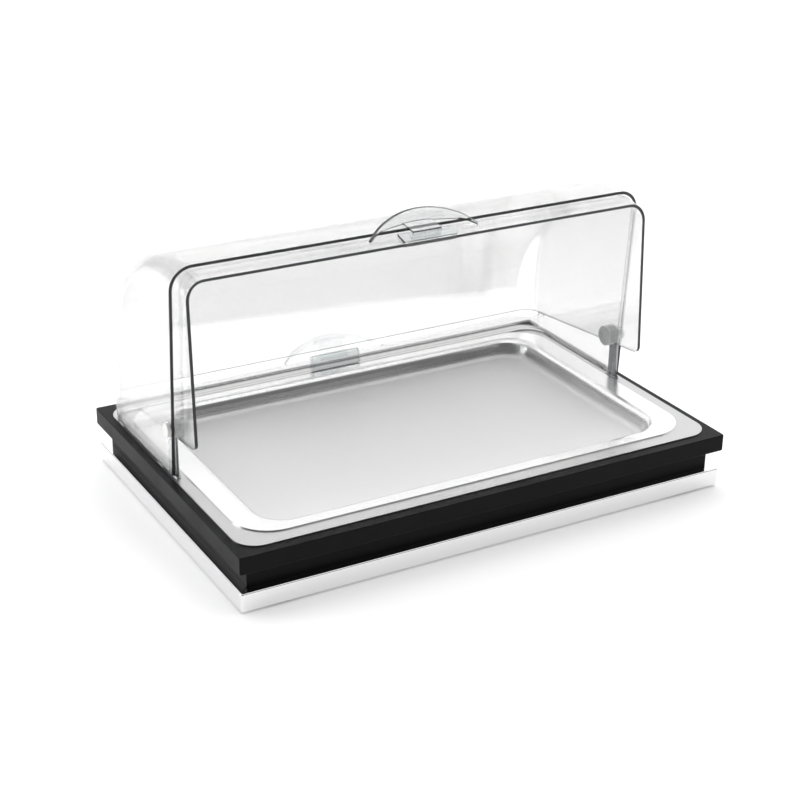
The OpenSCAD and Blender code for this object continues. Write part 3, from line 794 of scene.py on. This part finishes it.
def clip(name, radius):
    """A channel over the edge of a sheet whose outer face is at this radius above the pivots."""
    lean = asin(edge_lead / radius)
    tool = begin("slot", bpy.ops.mesh.primitive_cube_add, size=1, location=(0, 10 * MM, -1.7 * MM),
                 scale=(2.2 * clip_half, 20 * MM, sheet_t + 0.2 * MM))
    bpy.ops.object.mode_set(mode="OBJECT")
    piece = begin(name, bpy.ops.mesh.primitive_cube_add, size=1,
                  location=(0, 7.75 * MM, -1.05 * MM),
                  scale=(2 * clip_half, 16.5 * MM, sheet_t + 3.3 * MM))
    bpy.ops.mesh.bevel(offset=0.7 * MM, segments=3, affect="EDGES")
    carve(piece, tool)
    bpy.ops.object.mode_set(mode="EDIT")
    bpy.ops.mesh.select_all(action="SELECT")
    bpy.ops.transform.rotate(value=-lean, orient_axis="X", center_override=(0, 0, 0))
    bpy.ops.transform.translate(value=(0, pivot.y - edge_lead, pivot.z + radius * cos(lean)))
    return piece


def grip(name, radius):
    """An arched leaf on a thin web, standing on a sheet of this radius behind its clip."""
    piece = begin(name, bpy.ops.mesh.primitive_grid_add, x_subdivisions=48, y_subdivisions=8,
                  size=1)
    tip = pivot.y - edge_lead + 11 * MM + leaf_t / 2
    for corner in bmesh.from_edit_mesh(piece.data).verts:
        s, t = 2 * corner.co.x, corner.co.y + 0.5
        arch = grip_rise * (1 - s * s)
        lift = min(0.3 * MM + 12 * MM * (1 - s * s), 5.2 * MM)
        foot = (radius ** 2 - (tip + arch - pivot.y) ** 2) ** 0.5 + lift
        tall = 1.5 * MM + (grip_reach - 1.5 * MM) * (1 - s * s) - lift / 2
        corner.co = (grip_half * s, tip + arch - t * tall * sin(radians(11)),
                     pivot.z + foot + t * tall)
    bmesh.update_edit_mesh(piece.data)
    bpy.ops.object.mode_set(mode="OBJECT")
    wall = piece.modifiers.new("wall", "SOLIDIFY")
    wall.thickness, wall.offset = leaf_t, 0
    bpy.ops.object.modifier_apply(modifier="wall")
    ease = piece.modifiers.new("ease", "BEVEL")
    ease.width, ease.segments, ease.limit_method, ease.angle_limit = 0.8 * MM, 3, "ANGLE", 1.0
    bpy.ops.object.modifier_apply(modifier="ease")
    piece.data.materials.append(clear_moulded)
    piece.data.materials.append(sheet_edge_painted_shade)
    bpy.ops.object.mode_set(mode="EDIT")
    # The faces next to the sheet take the second material: on the front grip the edge painted
    # almost black as painted shade, on the rear grip plain clear.
    choose("FACE", lambda p: hypot(p.y - pivot.y, p.z - pivot.z) <
           radius + min(1.3 * MM + 12 * MM * (1 - (p.x / grip_half) ** 2), 6.1 * MM))
    piece.active_material_index = 1
    bpy.ops.object.material_slot_assign()
    for back, deep, lift, tall in ((19 * MM, 24 * MM, 6.1 * MM, 1.4 * MM),
                                   (7.6 * MM, 1.2 * MM, 4.2 * MM, 3.2 * MM)):
        lean = asin((edge_lead - back) / radius)
        bpy.ops.mesh.primitive_cube_add(size=1, scale=(34 * MM, deep, tall))
        bpy.ops.mesh.bevel(offset=0.2 * MM, segments=2, affect="EDGES")
        bpy.ops.mesh.select_linked()
        piece.active_material_index = 0
        bpy.ops.object.material_slot_assign()
        bpy.ops.transform.rotate(value=-lean, orient_axis="X", center_override=(0, 0, 0))
        bpy.ops.transform.translate(value=(0, pivot.y - edge_lead + back,
                                           pivot.z + radius * cos(lean) + lift))
    return piece


def onto_rear_edge():
    """Swaps height and depth about the pivots, which puts a front piece on the rear edge."""
    bpy.ops.mesh.select_all(action="SELECT")
    bpy.ops.transform.mirror(constraint_axis=(False, True, False), center_override=pivot)
    bpy.ops.transform.rotate(value=pi / 2, orient_axis="X", center_override=pivot)
    bpy.ops.mesh.normals_make_consistent(inside=False)


rear_clip = clip("clip_rear", rear_radius)
onto_rear_edge()
done(rear_clip, "hood", [clear_moulded], ["rear_clip"])
rear_grip = grip("grip_rear", rear_radius)
onto_rear_edge()
done(rear_grip, "hood", [clear_moulded, clear_moulded], ["rear_grip"])

# ---- Front half of the hood ----
# The front half turns on the bolts inside the rear half. It is the same sheet on a slightly
# smaller radius, with a sloping lower edge and a rounded toe, so that it clears the tray.

low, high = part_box("front_shell")
front_radius = rear_radius - sheet_t - 0.6 * MM
open_past = radians(3)
heel_slope, heel_drop, toe_radius = radians(2.7), 9.8 * MM, 8 * MM
tilt = Matrix.Rotation(-open_past, 3, "X")
front = drum("front_half", front_radius, high.x, 20 * MM, 6.05 * MM)
trim(pivot + tilt @ Vector((0, -edge_lead, 0)), tilt @ Vector((0, -1, 0)))
trim(pivot + tilt @ Vector((0, 0, -heel_drop)),
     tilt @ Vector((0, -sin(heel_slope), -cos(heel_slope))))
toe_y = toe_radius - edge_lead
toe_z = toe_radius / cos(heel_slope) - heel_drop - toe_y * tan(heel_slope)
for step in range(1, 8):
    turn = (pi / 2 - heel_slope) * step / 8
    out = Vector((0, -cos(turn), -sin(turn)))
    trim(pivot + tilt @ (Vector((0, toe_y, toe_z)) + out * toe_radius), tilt @ out)
front.data.materials.append(clear_sheet)
front.data.materials.append(sheet_edge_painted_shade)
# The sawn edges take the second material, the edge painted almost black as painted shade.
thicken(front, sheet_t, 1)
clear_at_clip(front, lambda p: abs((tilt.inverted() @ (p - pivot)).y + edge_lead) < 1e-5 and
              abs(p.x) < clip_half + 1e-5)
done(front, "front_half", [clear_sheet, sheet_edge_painted_shade], ["front_shell"])


def roll_back():
    """Turns an upright piece about the pivots as far as the front half leans back."""
    bpy.ops.mesh.select_all(action="SELECT")
    bpy.ops.transform.rotate(value=open_past, orient_axis="X", center_override=pivot)


front_clip = clip("clip_front", front_radius)
roll_back()
done(front_clip, "front_half", [clear_moulded], ["front_clip"])
front_grip = grip("grip_front", front_radius)
roll_back()
# Its faces next to the sheet keep the edge painted almost black as painted shade.
done(front_grip, "front_half", [clear_moulded, sheet_edge_painted_shade], ["front_grip"])

# ---- Buffers, stop pegs and bushings ----
# Small mouldings that hold the two halves apart: nylon buffers under the rear half, clear
# pegs that stop the front half, and nylon bushings round the bolts. They keep their own
# solids and only take a material.

for node, material in (("rear_buffers", white_nylon), ("stop_pegs", clear_moulded),
                       ("front_bushings", white_nylon)):
    frame["nodes"][node].data.materials.clear()
    frame["nodes"][node].data.materials.append(material)

# ---- Stage ----
# A pale floor, a soft light above and a low one on the left. The room is bright overhead,
# behind and to the right, and dim in front, which sets the tones in the polished metal.

floor = begin("floor", bpy.ops.mesh.primitive_plane_add, size=16)
bpy.ops.mesh.subdivide(number_cuts=3)
bpy.ops.object.mode_set(mode="OBJECT")
floor_paper = surface("paper_sweep_white", "#F4F4F4", Roughness=0.9,
                      Emission_Color=(1, 1, 1, 1), Emission_Strength=0.26)
floor.data.materials.append(floor_paper)

world = bpy.data.worlds.new("room")
bpy.context.scene.world = world
world.use_nodes = True
direction = add(world, "TexCoord").outputs["Generated"]
facing = add(world, "VectorMath", {0: direction, 1: (0.5, 0.45, 0.75)}, operation="DOT_PRODUCT")
glow = add(world, "ValToRGB", {"Fac": facing.outputs["Value"]})
for stop, position, level in zip(glow.color_ramp.elements, (0.15, 0.62), (0.12, 1.28)):
    stop.position, stop.color = position, (level, level, level, 1)
world.node_tree.links.new(glow.outputs[0], world.node_tree.nodes["Background"].inputs["Color"])


def lamp(name, place, target, size, power):
    """A square soft light that looks at a point."""
    bpy.ops.object.light_add(type="AREA", location=place)
    light = bpy.context.object
    light.name = name
    light.data.size, light.data.energy = size, power
    light.rotation_euler = (Vector(target) - Vector(place)).to_track_quat("-Z", "Y").to_euler()


lamp("light_above", (0.2, 0.3, 1.8), (0, 0, 0), 1.6, 6)
lamp("light_left", (-1.5, 0.7, 0.45), (0, 0, 0.1), 0.9, 10)

camera_place = Vector((-0.85225, -1.48527, 0.86227))
camera_target = Vector((0.02133, 0.05191, 0.06292))
bpy.ops.object.camera_add(location=camera_place)
camera = bpy.context.object
camera.rotation_euler = ((camera_target - camera_place).to_track_quat("-Z", "Y") @
                         Quaternion((0, 0, 1), radians(0.708))).to_euler()
camera.data.sensor_width, camera.data.lens = 36, 77.72
bpy.context.scene.camera = camera
bpy.context.scene.view_settings.view_transform = "Standard"
